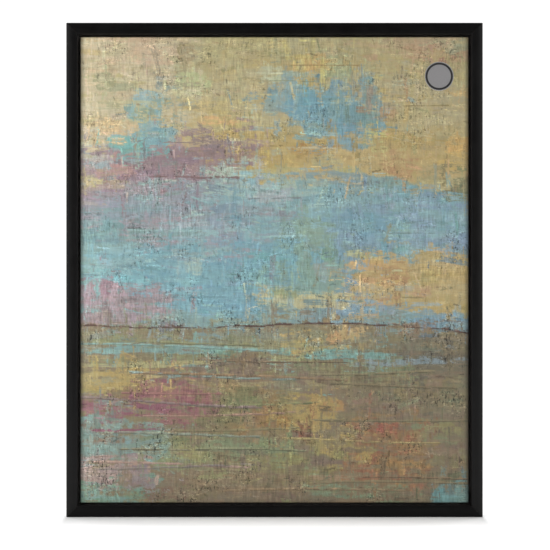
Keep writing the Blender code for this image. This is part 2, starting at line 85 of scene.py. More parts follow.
def placed(name, data):
    """A new object in the scene: a mesh, a light or a camera."""
    made = bpy.data.objects.new(name, data)
    bpy.context.scene.collection.objects.link(made)
    return made


def shaped(name, points, faces):
    mesh = bpy.data.meshes.new(name)
    mesh.from_pydata(points, [], faces)
    return placed(name, mesh)


# The painting

rng = np.random.default_rng(24)
across = np.linspace(0, 1, COLUMNS + 1)
down = np.linspace(0, 1, ROWS + 1)
U, T = np.meshgrid(across, down)


def linear(*colour):
    """A colour given from 0 to 255, as it looks on a screen, in linear light."""
    c = np.asarray(colour, float) / 255
    return np.where(c <= 0.04045, c / 12.92, ((c + 0.055) / 1.055) ** 2.4)


def ease(x):
    """From 0 to 1 as x does, with a gentle start and end."""
    x = np.clip(x, 0, 1)
    return x * x * (3 - 2 * x)


def field(wide, tall, octaves=3, fade=0.5):
    """Cloudy random values, mostly from 0 to 1, whose largest blobs are this size in millimetres."""
    total = np.zeros(U.shape)
    for octave in range(octaves):
        x = across * WIDTH / (wide * MM) * 2**octave + rng.random()
        z = down * HEIGHT / (tall * MM) * 2**octave + rng.random()
        lattice = rng.random((int(z[-1]) + 2, int(x[-1]) + 2))
        i, j = z.astype(int), x.astype(int)
        f, g = ease(z - i)[:, None], ease(x - j)[None, :]
        upper = lattice[i][:, j] * (1 - g) + lattice[i][:, j + 1] * g
        lower = lattice[i + 1][:, j] * (1 - g) + lattice[i + 1][:, j + 1] * g
        total += fade**octave * (upper * (1 - f) + lower * f)
    return 0.5 + (total - total.mean()) / (4.2 * total.std())


class Paint:
    """What lies on the cloth: the last paint, what shows where it didn't catch, and the relief."""

    def __init__(self, colour):
        self.top = np.broadcast_to(colour, (*U.shape, 3)).copy()
        self.under = self.top.copy()
        self.grip = np.ones(U.shape)
        self.relief = np.zeros(U.shape)

    def seen(self, at=slice(None)):
        share = ease((self.grip[at] - 0.5) * 3 + 0.5)[..., None]
        return self.under[at] * (1 - share) + self.top[at] * share

    def tone(self, u, t):
        """The colour seen at one point, given by its shares across and down the picture."""
        row, column = int(t * ROWS), int(u * COLUMNS)
        return self.seen((slice(row, row + 1), slice(column, column + 1)))[0, 0]

    def lay(self, colour, grip, thick=0.0, opacity=1.0, at=slice(None)):
        """Lays a colour where grip is more than nothing. What was seen there shows through its gaps."""
        seen = self.seen(at)
        touched = grip > 0.03
        colour = seen * (1 - opacity) + colour * opacity
        self.under[at] = np.where(touched[..., None], seen, self.under[at])
        self.top[at] = np.where(touched[..., None], colour, self.top[at])
        self.grip[at] = np.where(touched, np.clip(grip, 0, 1), self.grip[at])
        self.relief[at] += thick * MM * ease((grip - 0.4) * 2.5)


def mixed(first, second, share):
    return linear(*first) * (1 - share[..., None]) + linear(*second) * share[..., None]


def patch(box, first, second, cover=0.8, ragged=0.7, feather=9, grain=(45, 5), thick=0.05,
          opacity=0.9, power=3.0, wander=16):
    """Broken paint of two colours in box: left, top, right and bottom as shares of the picture.

    cover is how well the paint catches, ragged how unevenly, and power squares the outline's corners.
    In millimetres, feather is the outline's softness, wander how far it strays, grain the size of the
    streaks and thick the relief.
    """
    left, top, right, bottom = box
    half_x, half_z = (right - left) * WIDTH / 2 / MM, (bottom - top) * HEIGHT / 2 / MM
    x = (U - (left + right) / 2) * WIDTH / MM + wander * 2 * (field(70, 50) - 0.5)
    z = (T - (top + bottom) / 2) * HEIGHT / MM + wander * (field(60, 40) - 0.5)
    ratio = (np.abs(x / half_x) ** power + np.abs(z / half_z) ** power) ** (1 / power)
    inside = (1 - ratio) * min(half_x, half_z)
    dry = 0.65 * field(*grain) + 0.35 * field(4, 4, 2)
    grip = np.minimum(0.5 + inside / feather, cover) + ragged * (dry - 0.5) * 1.6
    grip = np.where(inside < -feather * 0.8, 0, grip)
    tint = np.clip(1.6 * (field(grain[0] * 1.3, grain[1] * 2) - 0.5) + 0.5, 0, 1)
    paint.lay(mixed(first, second, tint), grip, thick * (0.6 + 0.8 * field(12, 5)), opacity)


BRISTLES = 12  # bundles of them across a brush


def stroke(u, t, length, width, angle, colour, cover=0.7, thick=0.05, opacity=0.85):
    """One pull of a brush or knife, in millimetres, with the streaks of its bristles."""
    reach = length / 2 + 3
    rows = np.flatnonzero(np.abs((down - t) * HEIGHT / MM) < abs(sin(angle)) * reach + width)
    columns = np.flatnonzero(np.abs((across - u) * WIDTH / MM) < abs(cos(angle)) * reach + width)
    if not len(rows) or not len(columns):
        return
    at = (slice(rows[0], rows[-1] + 1), slice(columns[0], columns[-1] + 1))
    x, z = (U[at] - u) * WIDTH / MM, (T[at] - t) * HEIGHT / MM
    along, beside = x * cos(angle) + z * sin(angle), z * cos(angle) - x * sin(angle)
    bristles = rng.random(BRISTLES)
    which = np.clip((beside / width + 0.5) * (BRISTLES - 0.1), 0, BRISTLES - 1).astype(int)
    streak = bristles[which]
    ends = length / 2 * (0.75 + 0.25 * streak) - np.abs(along)
    inside = np.minimum(ends, (width / 2 - np.abs(beside)) * 2)
    fading = 0.25 * (along / length + 0.5)
    grip = np.minimum(0.5 + inside / 3, cover) + 0.5 * (streak - 0.5) - fading
    grip = np.where(inside < -2, 0, grip + 0.35 * (speckle[at] - 0.5))
    paint.lay(colour, grip, thick * (0.5 + streak), opacity, at)


def contour(path, ends, tone, width=1.3, cover=0.75, thick=0.08):
    """A thin broken line along a path, the share down the picture at each place across it."""
    beside = np.abs(T - path[None, :]) * HEIGHT / MM
    within = np.minimum(across - ends[0], ends[1] - across)[None, :] * WIDTH / MM
    swell = width * (0.55 + 0.9 * field(24, 24, 2))
    grip = np.minimum(0.5 + np.minimum(swell / 2 - beside, within / 8) * 1.2, cover)
    paint.lay(tone, grip + 0.9 * (field(9, 2, 2) - 0.5), thick)


speckle = field(3.2, 3.2, 1)  # where a stroke skips
SAND, PALE_SAND, OCHRE = (186, 176, 140), (198, 188, 160), (188, 167, 118)
SKY, PALE_SKY, TEAL = (122, 162, 170), (144, 174, 176), (126, 158, 152)
MAUVE, DUSK, GREY_BLUE = (162, 142, 148), (136, 118, 128), (130, 154, 158)
OLIVE, TAUPE, MOSS = (134, 126, 96), (132, 116, 100), (130, 142, 110)
PLUM, RUST, STRAW, UMBER = (138, 90, 104), (152, 104, 82), (180, 158, 100), (84, 66, 58)

paint = Paint(linear(*OLIVE))

# Sky, from the top down: left, top, right, bottom, then its two colours
patch((-0.1, -0.1, 1.1, 0.36), SAND, (186, 176, 128), cover=1.2, ragged=0.2, grain=(60, 14))
patch((-0.08, -0.05, 0.3, 0.25), PALE_SAND, (196, 180, 152), ragged=0.9, feather=30, opacity=0.7)
patch((0.05, -0.06, 0.28, 0.07), (204, 170, 142), SAND, ragged=0.9, feather=25, opacity=0.55)
patch((0.78, -0.06, 1.06, 0.05), (186, 142, 122), SAND, ragged=0.9, feather=22, opacity=0.6)
patch((0.3, 0.02, 1.05, 0.3), (190, 170, 112), SAND, cover=0.65, grain=(60, 7), feather=30, opacity=0.7)
patch((0.24, 0.0, 0.75, 0.12), (176, 166, 122), (160, 158, 126), cover=0.5, grain=(14, 22), opacity=0.6)
patch((0.16, 0.2, 1.05, 0.3), OCHRE, STRAW, cover=0.85, ragged=0.6, grain=(80, 6), thick=0.09)
patch((0.6, 0.23, 1.05, 0.3), (198, 178, 128), OCHRE, cover=0.8, grain=(70, 5), thick=0.1)

# The wide blue middle
patch((-0.08, 0.29, 1.08, 0.66), GREY_BLUE, (128, 160, 158), cover=1.2, ragged=0.25, grain=(70, 10))
patch((-0.05, 0.3, 0.5, 0.42), (140, 150, 158), MAUVE, cover=0.6, grain=(70, 5), opacity=0.8)
patch((0.25, 0.32, 1.02, 0.44), PALE_SKY, SKY, cover=0.75, grain=(60, 6), thick=0.07)
patch((0.1, 0.43, 0.62, 0.6), SKY, (118, 160, 174), cover=0.95, grain=(60, 6), thick=0.08)
patch((0.0, 0.46, 0.3, 0.54), PALE_SKY, SKY, cover=0.8, ragged=0.8, thick=0.08)
patch((0.62, 0.36, 0.82, 0.6), (132, 152, 170), (122, 158, 174), cover=0.65, grain=(25, 9), opacity=0.8)
patch((0.46, 0.38, 0.66, 0.58), (138, 160, 136), TEAL, cover=0.6, grain=(18, 30), feather=25, opacity=0.7)
patch((0.84, 0.34, 1.05, 0.5), (136, 156, 178), PALE_SKY, cover=0.6, grain=(40, 6), opacity=0.8)
patch((0.05, 0.36, 0.5, 0.47), MAUVE, GREY_BLUE, cover=0.42, ragged=0.9, grain=(34, 4), opacity=0.7)

# Mauve bank, blue breaks in the sand, warm clouds low on the right
patch((-0.06, 0.225, 0.3, 0.31), MAUVE, DUSK, cover=0.85, grain=(50, 5), thick=0.07)
patch((0.08, 0.235, 0.44, 0.3), DUSK, (150, 128, 130), cover=0.7, ragged=0.9, grain=(55, 4), thick=0.06)
patch((-0.05, 0.2, 0.12, 0.27), (178, 172, 158), PALE_SKY, cover=0.5, grain=(40, 4), opacity=0.6)
patch((0.12, 0.12, 0.21, 0.25), PALE_SKY, TEAL, cover=0.95, feather=5, grain=(24, 8), wander=20, power=4)
patch((0.14, 0.185, 0.245, 0.235), SKY, PALE_SKY, cover=0.9, feather=5, grain=(30, 6))
patch((0.47, 0.085, 0.63, 0.155), SKY, PALE_SKY, cover=0.8, ragged=0.9, feather=6, grain=(20, 7))
patch((0.56, 0.12, 0.78, 0.21), (120, 166, 182), SKY, cover=0.95, feather=6, grain=(26, 8), wander=24)
patch((0.66, 0.08, 0.79, 0.24), (124, 160, 172), TEAL, cover=0.8, feather=6, grain=(16, 16), wander=20)
patch((0.8, 0.05, 0.85, 0.1), PALE_SKY, SAND, cover=0.6, feather=5)
patch((0.32, 0.27, 0.62, 0.34), PALE_SKY, (170, 186, 170), cover=0.65, grain=(60, 4), thick=0.08)
patch((0.68, 0.5, 1.06, 0.585), OCHRE, STRAW, cover=1.05, ragged=0.45, feather=6, grain=(50, 7), thick=0.12)
patch((0.745, 0.455, 0.83, 0.53), (194, 168, 112), OCHRE, cover=0.9, feather=6, thick=0.12)
patch((0.88, 0.46, 1.05, 0.53), (190, 168, 118), STRAW, cover=0.75, feather=8, thick=0.1)
patch((0.46, 0.545, 0.7, 0.59), (196, 186, 140), (180, 172, 132), cover=0.7, grain=(60, 5), thick=0.1)
patch((-0.05, 0.53, 0.25, 0.62), MAUVE, (146, 128, 128), cover=0.75, grain=(50, 5), thick=0.07)
patch((0.84, 0.6, 1.05, 0.66), (120, 158, 180), GREY_BLUE, cover=0.85, feather=8, grain=(50, 5))

# The land under a long low ridge
ridge = 0.612 + 0.012 * np.sin(across * 5.2 + 0.6) + 0.03 * across**2 + 0.004 * (field(30, 30)[0] - 0.5)
below = (T - ridge[None, :]) * HEIGHT / MM
paint.lay(mixed(TAUPE, OLIVE, field(70, 9)), 0.5 + below / 3 + 0.3 * (field(9, 4) - 0.5), 0.12)
patch((-0.05, 0.62, 0.42, 0.7), (138, 142, 108), TAUPE, cover=0.6, grain=(60, 5))
patch((0.3, 0.63, 0.8, 0.68), (132, 138, 124), (144, 142, 108), cover=0.75, grain=(60, 6))
patch((0.5, 0.635, 0.72, 0.665), STRAW, OCHRE, cover=0.45, ragged=0.9, grain=(30, 4))
patch((0.7, 0.66, 1.05, 0.8), (112, 108, 96), (134, 124, 96), cover=0.6, grain=(40, 6))
patch((-0.05, 0.71, 0.32, 0.77), (172, 158, 110), STRAW, cover=0.6, grain=(60, 5), thick=0.08)
patch((0.2, 0.7, 0.62, 0.77), (124, 104, 98), TAUPE, cover=0.5, grain=(50, 4))
patch((0.12, 0.745, 0.36, 0.83), PLUM, (152, 112, 104), cover=0.62, ragged=1.0, grain=(40, 5), thick=0.08)
patch((-0.04, 0.77, 0.14, 0.83), (146, 104, 112), PLUM, cover=0.55, ragged=1.0, grain=(40, 5))
patch((0.36, 0.76, 0.56, 0.86), (150, 116, 82), (132, 128, 92), cover=0.65, grain=(22, 14))
patch((0.5, 0.775, 0.66, 0.85), STRAW, (172, 152, 100), cover=0.7, grain=(26, 9), thick=0.1)
patch((0.56, 0.81, 0.6, 0.86), UMBER, RUST, cover=0.55, grain=(5, 14), feather=6)
patch((0.68, 0.8, 0.92, 0.93), (156, 128, 88), RUST, cover=0.6, grain=(30, 7))
patch((0.2, 0.85, 0.52, 0.93), MOSS, (154, 150, 104), cover=0.6, grain=(30, 8))
patch((-0.05, 0.82, 0.24, 0.93), TEAL, (128, 150, 142), cover=0.62, grain=(36, 7), thick=0.07)
patch((-0.05, 0.93, 0.22, 1.05), (118, 152, 126), TEAL, cover=0.7, grain=(50, 5), thick=0.08)
patch((0.2, 0.93, 0.95, 1.05), (128, 118, 98), (144, 124, 96), cover=0.65, grain=(60, 5))
patch((0.7, 0.9, 0.9, 0.97), RUST, (176, 140, 92), cover=0.45, ragged=1.0, grain=(40, 4))
patch((0.9, 0.95, 1.03, 1.03), (110, 158, 160), TEAL, cover=0.75, feather=8)
patch((0.48, 0.695, 0.82, 0.75), MOSS, (150, 144, 104), cover=0.6, grain=(40, 6), ragged=0.9)
patch((0.8, 0.72, 1.05, 0.78), (146, 132, 96), (120, 128, 106), cover=0.6, grain=(34, 6), ragged=0.9)
patch((0.6, 0.85, 0.76, 0.91), STRAW, (150, 148, 100), cover=0.65, grain=(18, 12), ragged=0.9)
patch((0.84, 0.83, 1.0, 0.89), (152, 146, 102), MOSS, cover=0.6, grain=(30, 6), ragged=0.9)
patch((0.76, 0.83, 0.86, 0.875), (160, 98, 84), RUST, cover=0.65, grain=(16, 8), feather=6, ragged=0.9)
patch((0.4, 0.9, 0.66, 0.96), (148, 142, 96), TAUPE, cover=0.55, grain=(30, 8), ragged=0.9)
patch((0.62, 0.955, 0.86, 1.0), (126, 144, 118), MOSS, cover=0.65, grain=(50, 5), ragged=0.9)
patch((-0.05, 0.9, 0.17, 0.965), (164, 142, 136), DUSK, cover=0.75, grain=(34, 6), ragged=0.8, feather=6)
for left, top, right, bottom, tone in (
    (0.0, 0.665, 0.4, 0.682, TEAL), (0.34, 0.668, 0.62, 0.682, (134, 172, 158)),
    (0.55, 0.676, 0.8, 0.694, (130, 170, 162)), (0.72, 0.69, 1.02, 0.706, (140, 156, 160)),
    (0.0, 0.7, 0.34, 0.712, (172, 168, 124)), (0.3, 0.742, 0.78, 0.752, (158, 148, 112)),
):
    patch((left, top, right, bottom), tone, tone, cover=0.85, feather=3, grain=(60, 3), wander=5, thick=0.1)

# Small patches in which the colour underneath leans another way
LEANINGS = ((1.12, 0.96, 0.84), (0.88, 1.06, 1.0), (1.1, 1.03, 0.8), (1.08, 0.88, 0.98), (0.86, 0.98, 1.1))
for _ in range(110):
    u, t = rng.random(2)
    half_u, half_t = rng.uniform(0.012, 0.05), rng.uniform(0.006, 0.02)
    leaning = paint.tone(u, t) * LEANINGS[rng.integers(len(LEANINGS))] * rng.uniform(0.76, 1.24)
    tone = tuple(255 * np.clip(leaning, 0, 1) ** (1 / 2.2))
    box = (u - half_u, t - half_t, u + half_u, t + half_t)
    patch(box, tone, tone, cover=0.75, ragged=1.0, feather=4, grain=(14, 5), wander=8, thick=0.06)


def pulls(count, lengths, widths, spread, upright):
    """Knife and brush work that drags neighbouring colours through one another.

    lengths and widths are ranges in millimetres. spread is how far the tones stray, and upright is the
    share of the pulls that go up and down.
    """
    for _ in range(count):
        u, t = rng.random(2)
        near_u = np.clip(u + rng.normal(0, 0.035), 0, 1)
        near_t = np.clip(t + rng.normal(0, 0.022), 0, 1)
        tone = paint.tone(near_u, near_t) * rng.normal(1, spread) * (1 + rng.normal(0, 0.03, 3))
        angle = (pi / 2 if rng.random() < upright else 0) + rng.normal(0, 0.14)
        length, width = rng.uniform(*lengths), rng.uniform(*widths)
        stroke(u, t, length, width, angle, tone, rng.uniform(0.45, 0.8), 0.05)


pulls(2200, lengths=(12, 46), widths=(2.5, 9), spread=0.13, upright=0.34)
pulls(2400, lengths=(5, 30), widths=(1.2, 2.2), spread=0.24, upright=0.5)

# Short flecks, darker or lighter than what they lie on
for _ in range(420):
    u, t = rng.random(2)
    dark = rng.random() < 0.62
    tone = paint.tone(u, t) * (rng.uniform(0.45, 0.75) if dark else rng.uniform(1.15, 1.4))
    angle = rng.choice([0.0, pi / 2]) + rng.normal(0, 0.35)
    stroke(u, t, rng.uniform(3, 11), rng.uniform(1.2, 2.4), angle, tone, 0.8, 0.04)

# Scrub along the ridge, and the ridge's dark edge
for u in rng.random(46):
    t = np.interp(u, across, ridge) - rng.uniform(0, 0.003)
    tone = linear(*UMBER) * rng.uniform(0.9, 2.4)
    stroke(u, t, rng.uniform(2, 14), rng.uniform(1.6, 3.4), rng.normal(0, 0.2), tone, 0.65, 0.06)
contour(ridge, (-0.1, 1.1), linear(*UMBER) * 1.1, 1.5)

# Long knife edges that follow the lie of the land: a dark line of painted shade, and a light one of painted
# highlight just above it, as on a ridge under raking light
LAND_EDGES, LAND_TOP, LAND_DEPTH, LINE_APART = 22, 0.655, 0.33, 0.0024
for number in range(LAND_EDGES):
    level = LAND_TOP + LAND_DEPTH * (number + rng.random()) / LAND_EDGES
    swing, tilt, phase = rng.uniform(0.003, 0.011), rng.normal(0, 0.012), rng.uniform(0, 2 * pi)
    path = level + tilt * (across - 0.5) + swing * np.sin(across * rng.uniform(4, 8) + phase)
    left = rng.uniform(-0.1, 0.75)
    ends = (left, left + rng.uniform(0.2, 0.6))
    near = paint.tone(np.clip(left + 0.1, 0, 1), np.clip(level, 0, 1))
    contour(path, ends, near * rng.uniform(0.52, 0.72), rng.uniform(1.0, 1.7))
    contour(path - LINE_APART, ends, near * rng.uniform(1.15, 1.35), rng.uniform(0.9, 1.5), thick=0.12)

# Shorter ones in the sky, and two dark lines under the mauve bank and the plum field
for _ in range(12):
    level = rng.uniform(0.06, 0.6)
    path = level + 0.002 * np.sin(across * rng.uniform(8, 16) + rng.uniform(0, 2 * pi))
    left = rng.uniform(-0.05, 0.85)
    near = paint.tone(np.clip(left + 0.05, 0, 1), level)
    contour(path, (left, left + rng.uniform(0.06, 0.24)), near * rng.choice([0.6, 1.3]), 1.2, thick=0.1)
for box, tone in (((0.18, 0.298, 0.36, 0.302), (126, 102, 102)), ((0.02, 0.845, 0.2, 0.849), PLUM)):
    patch(box, tone, tone, cover=0.7, ragged=0.9, feather=2.5, grain=(20, 3), wander=6, thick=0.03)

# Thick and thin threads show through all of it
thread = 0.55 * field(2.2, 13, 2) + 0.45 * field(16, 2.2, 2) - 0.5
lumpy = field(4, 4, 2) - 0.5
grit = rng.normal(0, 1, U.shape)
# The tones deepen towards the right, and a little in the upper sky and the near land
deeper = 0.98 - 0.2 * U - 0.12 * (1 - ease(T / 0.7)) - 0.12 * ease((T - 0.58) / 0.12)
paler_left = 1 + 0.16 * (1 - ease(U / 0.12))
# Painted shadow: the frame's rails, standing proud of the cloth, darken it along the upright edges
painted_edge_shadow = 0.5 + 0.5 * ease(np.minimum(U, 1 - U) * WIDTH / (5 * MM))  # dark along the upright edges
deeper *= paler_left * painted_edge_shadow
shade = (deeper * (1 + 0.13 * thread + 0.1 * lumpy + 0.01 * grit))[..., None]
for layer in (paint.top, paint.under):
    layer *= shade
    np.clip(layer, 0.004, 0.9, out=layer)

# The relief is no thicker than a loaded brush leaves, and runs out where the cloth turns
THICKEST = 0.42 * MM
edge_mm = np.minimum(np.minimum(U, 1 - U) * WIDTH, np.minimum(T, 1 - T) * HEIGHT) / MM
paint.relief += 0.05 * MM * (field(2.6, 30, 2) + field(30, 2.6, 2))
paint.relief = np.clip(paint.relief, 0, THICKEST) * ease(edge_mm / 5)


# The cloth itself, one closed sheet: painted face, turned edges, flaps, and the bare back

PAINTED, PRIMED, BARE = range(3)  # its materials
CRUMPLE = 0.2 * MM  # how far the flap's folded corners stand up
FRAYED = 0.12 * MM  # how far the flap's cut edge strays
SLACK = 0.15 * MM  # how uneven the cloth's back is


def border():
    """The painted face's outline, down the left side first: row, column and outward angle of each."""
    downward, rightward = range(1, ROWS), range(1, COLUMNS)
    sides = (
        ((0, 0), 90, [(r, 0) for r in downward]),
        ((ROWS, 0), 180, [(ROWS, c) for c in rightward]),
        ((ROWS, COLUMNS), 270, [(r, COLUMNS) for r in reversed(downward)]),
        ((0, COLUMNS), 0, [(0, c) for c in reversed(rightward)]),
    )
    made = []
    for corner, angle, side in sides:
        made += [(*corner, angle + 90 / CORNER_STEPS * step) for step in range(CORNER_STEPS + 1)]
        made += [(*place, (angle + 90) % 360) for place in side]
    return made


def turned_rings(base, angle, half):
    """The rings of points that take the face's border round the fold, down the side, over the flap and
    back inside. Each has the material of the faces that lead up to it."""
    count = len(base)
    out = np.stack([np.cos(np.radians(angle)), np.sin(np.radians(angle))], 1)

    def ring(offset, y, inset=None):
        """The border moved out by offset, or first drawn in to lie inset from the cloth's outside."""
        place = base if inset is None else base * ((half + FOLD - inset) / half)
        place = place + out * np.reshape(offset, (-1, 1))
        return np.stack([place[:, 0], np.broadcast_to(y, (count,)), place[:, 1] + MIDDLE_Z], 1)

    along = np.arange(1, count + 1)
    frayed = FRAYED * (rng.normal(0, 1, count) + 1.5 * np.sin(along * 0.07) + np.sin(along * 0.023))
    from_mitre = np.abs(np.abs(base[:, 0]) / half[0] - np.abs(base[:, 1]) / half[1]) * half[0]
    crumpled = BACK_Y - CRUMPLE * np.exp(-from_mitre / (4 * MM))
    inner, cut = FOLD - CLOTH, FLAP - TRIM

    made = []
    for a in (30, 60, 90):
        made.append((PAINTED, ring(FOLD * sin(radians(a)), FRONT_Y + FOLD * (1 - cos(radians(a))))))
    for share in (0.2, 0.4, 0.6, 0.8, 1.0):
        made.append((PAINTED, ring(FOLD, FRONT_Y + FOLD + (DEPTH - 2 * FOLD) * share)))
    for a in (30, 60):
        made.append((PRIMED, ring(FOLD * cos(radians(a)), BACK_Y - FOLD * (1 - sin(radians(a))))))
    for inset in (2, 5, 10, 17, 23, 28):
        made.append((PRIMED, ring(SEAM, crumpled, inset * MM)))
    made += [
        (PRIMED, ring(SEAM - frayed, BACK_Y - 0.05 * MM, cut)),
        (BARE, ring(SEAM - frayed, BACK_Y - CLOTH, cut)),
        (BARE, ring(SEAM, BACK_Y - CLOTH, 4 * MM)),
        (BARE, ring(inner, BACK_Y - FOLD)),
        (BARE, ring(inner, FRONT_Y + FOLD)),
        (BARE, ring(SEAM, FRONT_Y + CLOTH, FOLD + SEAM)),
    ]
    return made


def bare_window(entries, last, first, xs, zs):
    """The cloth's back behind the bars' window: its points, numbered from first, and its faces.

    It is coarser than the face, and its outer cells take in all of the last ring's points.
    """
    at_border = {(r, c): i for i, (r, c, _) in enumerate(entries)}  # at a corner, the last of its points
    slack = SLACK * (field(90, 90, 2) - 0.5)
    inside, points, faces = {}, [], []
    for r in range(BACK_STEP, ROWS, BACK_STEP):
        for c in range(BACK_STEP, COLUMNS, BACK_STEP):
            inside[(r, c)] = first + len(points)
            points.append((xs[c], FRONT_Y + CLOTH + slack[r, c], zs[r] + MIDDLE_Z))

    def on_one_side(a, b):
        return any(a[k] == b[k] and a[k] in (0, (ROWS, COLUMNS)[k]) for k in (0, 1))

    for r in range(0, ROWS, BACK_STEP):
        for c in range(0, COLUMNS, BACK_STEP):
            below, right = r + BACK_STEP, c + BACK_STEP
            corners = [(r, c), (r, right), (below, right), (below, c)]
            loop = []
            for a, b in zip(corners, corners[1:] + corners[:1]):
                if a in inside:
                    loop.append(inside[a])
                elif on_one_side(a, b):
                    i = at_border[a]
                    while i != at_border[b]:
                        loop.append(last[i])
                        i = (i - 1) % len(entries)
                else:
                    loop.append(last[at_border[a]])
            faces.append(loop)
    return points, faces


def carry_paint(mesh, row, column, rings):
    """Gives the mesh's points the painting's values: the face its own, and every ring the border's."""
    total, grid = len(mesh.vertices), U.size
    for name, values in (("paint", paint.top), ("under", paint.under)):
        colours = np.ones((total, 4))
        colours[:grid, :3] = values.reshape(-1, 3)
        colours[grid : grid + rings * len(row), :3] = np.tile(values[row, column], (rings, 1))
        attribute = mesh.attributes.new(name, "FLOAT_COLOR", "POINT")
        attribute.data.foreach_set("color", colours.ravel())
    grip = np.zeros(total)
    grip[:grid] = paint.grip.ravel()
    grip[grid : grid + rings * len(row)] = np.tile(paint.grip[row, column], rings)
    mesh.attributes.new("grip", "FLOAT", "POINT").data.foreach_set("value", grip)


def make_cloth():
    half = np.array([WIDTH / 2 - FOLD, HEIGHT / 2 - FOLD])
    xs, zs = (across * 2 - 1) * half[0], (1 - down * 2) * half[1]
    grid = np.empty((ROWS + 1, COLUMNS + 1, 3))
    grid[..., 0], grid[..., 2] = np.meshgrid(xs, zs + MIDDLE_Z)
    grid[..., 1] = FRONT_Y - paint.relief
    ids = np.arange(U.size).reshape(U.shape)
    quads = np.stack([ids[:-1, :-1], ids[1:, :-1], ids[1:, 1:], ids[:-1, 1:]], -1).reshape(-1, 4)
    faces, materials = quads.tolist(), [PAINTED] * len(quads)

    entries = border()
    row, column, angle = (np.array(values) for values in zip(*entries))
    rings = turned_rings(np.stack([xs[column], zs[row]], 1), angle, half)
    last, count = ids[row, column], len(entries)
    for i, (material, _) in enumerate(rings):
        this = U.size + i * count + np.arange(count)
        for a0, a1, b0, b1 in zip(last, np.roll(last, -1), this, np.roll(this, -1)):
            faces.append((a0, b0, b1) if a0 == a1 else (a0, b0, b1, a1))
            materials.append(material)
        last = this

    window, window_faces = bare_window(entries, last, U.size + len(rings) * count, xs, zs)
    faces += window_faces
    materials += [BARE] * len(window_faces)

    points = np.concatenate([grid.reshape(-1, 3), *(ring for _, ring in rings), np.array(window)])
    made = shaped("canvas_cloth", points.tolist(), [[int(v) for v in face] for face in faces])
    mesh = made.data
    mesh.polygons.foreach_set("material_index", materials)
    mesh.polygons.foreach_set("use_smooth", [True] * len(faces))
    carry_paint(mesh, row, column, len(rings))
    mesh.update()
    return made


# Materials


class Tree:
    """A material and short ways of adding nodes to it."""

    def __init__(self, name, **constants):
        self.material = bpy.data.materials.new(name)
        self.material.use_nodes = True
        self.tree = self.material.node_tree
        self.shader = self.tree.nodes["Principled BSDF"]
        for socket, value in constants.items():
            self.shader.inputs[socket.replace("_", " ")].default_value = value

    def add(self, kind, inputs=(), output=0, **settings):
        node = self.tree.nodes.new("ShaderNode" + kind)
        for key, value in settings.items():
            setattr(node, key, value)
        for key, value in dict(inputs).items():
            self.set(node.inputs[key], value)
        return node.outputs[output]

    def set(self, socket, value):
        if isinstance(value, bpy.types.NodeSocket):
            self.tree.links.new(value, socket)
        elif value is not None:
            socket.default_value = value

    def place(self, scale=(1, 1, 1), shift=(0, 0, 0)):
        where = self.add("TexCoord", output="Object")
        return self.add("Mapping", {"Vector": where, "Scale": scale, "Location": shift})

    def coordinates(self, where):
        return [self.add("SeparateXYZ", {"Vector": where}, output=i) for i in range(3)]

    def noise(self, vector, scale, detail=3.0, rough=0.55, warp=0.0):
        return self.add(
            "TexNoise",
            {"Vector": vector, "Scale": scale, "Detail": detail, "Roughness": rough, "Distortion": warp},
        )

    def math(self, operation, *values):
        return self.add("Math", dict(enumerate(values)), operation=operation)

    def ramp(self, value, low, high, to_low=0.0, to_high=1.0):
        return self.add(
            "MapRange",
            {"Value": value, "From Min": low, "From Max": high, "To Min": to_low, "To Max": to_high},
            interpolation_type="SMOOTHSTEP",
        )

    def mix(self, share, first, second, blend="MIX"):
        node = self.tree.nodes.new("ShaderNodeMix")
        node.data_type, node.blend_type = "RGBA", blend
        self.set(node.inputs[0], share)
        for i, value in ((6, first), (7, second)):
            self.set(node.inputs[i], (*value, 1) if isinstance(value, (tuple, np.ndarray)) else value)
        return node.outputs[2]

    def bump(self, height, distance, strength=1.0, onto=None):
        inputs = {"Height": height, "Distance": distance, "Strength": strength}
        if onto is not None:
            inputs["Normal"] = onto
        return self.add("Bump", inputs)

    def weave(self):
        """Plain weave on a face across Y: one thread over, one under. Returns its height, 0 to 1."""
        where = self.place()
        wobble = self.noise(where, 60, 2)
        x, _, z = self.coordinates(where)
        shift = self.math("MULTIPLY", self.math("SUBTRACT", wobble, 0.5), THREAD)
        waves = []
        for axis in (x, z):
            moved = self.math("ADD", axis, shift)
            waves.append(self.math("SINE", self.math("MULTIPLY", moved, pi / THREAD)))
        over = self.math("GREATER_THAN", self.math("MULTIPLY", waves[0], waves[1]), 0.0)
        warp, weft = (self.math("ABSOLUTE", w) for w in waves)
        high = self.math("MULTIPLY", over, self.math("POWER", warp, 0.6))
        low = self.math("MULTIPLY", self.math("SUBTRACT", 1.0, over), self.math("POWER", weft, 0.6))
        return self.math("ADD", high, low)

    def finish(self, colour=None, rough=None, normal=None):
        for socket, value in (("Base Color", colour), ("Roughness", rough), ("Normal", normal)):
            if value is not None:
                self.set(self.shader.inputs[socket], value)
        return self.material


def drawn_out(axis, share):
    """The scale that draws a pattern out along an axis: X, Y or Z."""
    return [share if letter == axis else 1.0 for letter in "XYZ"]


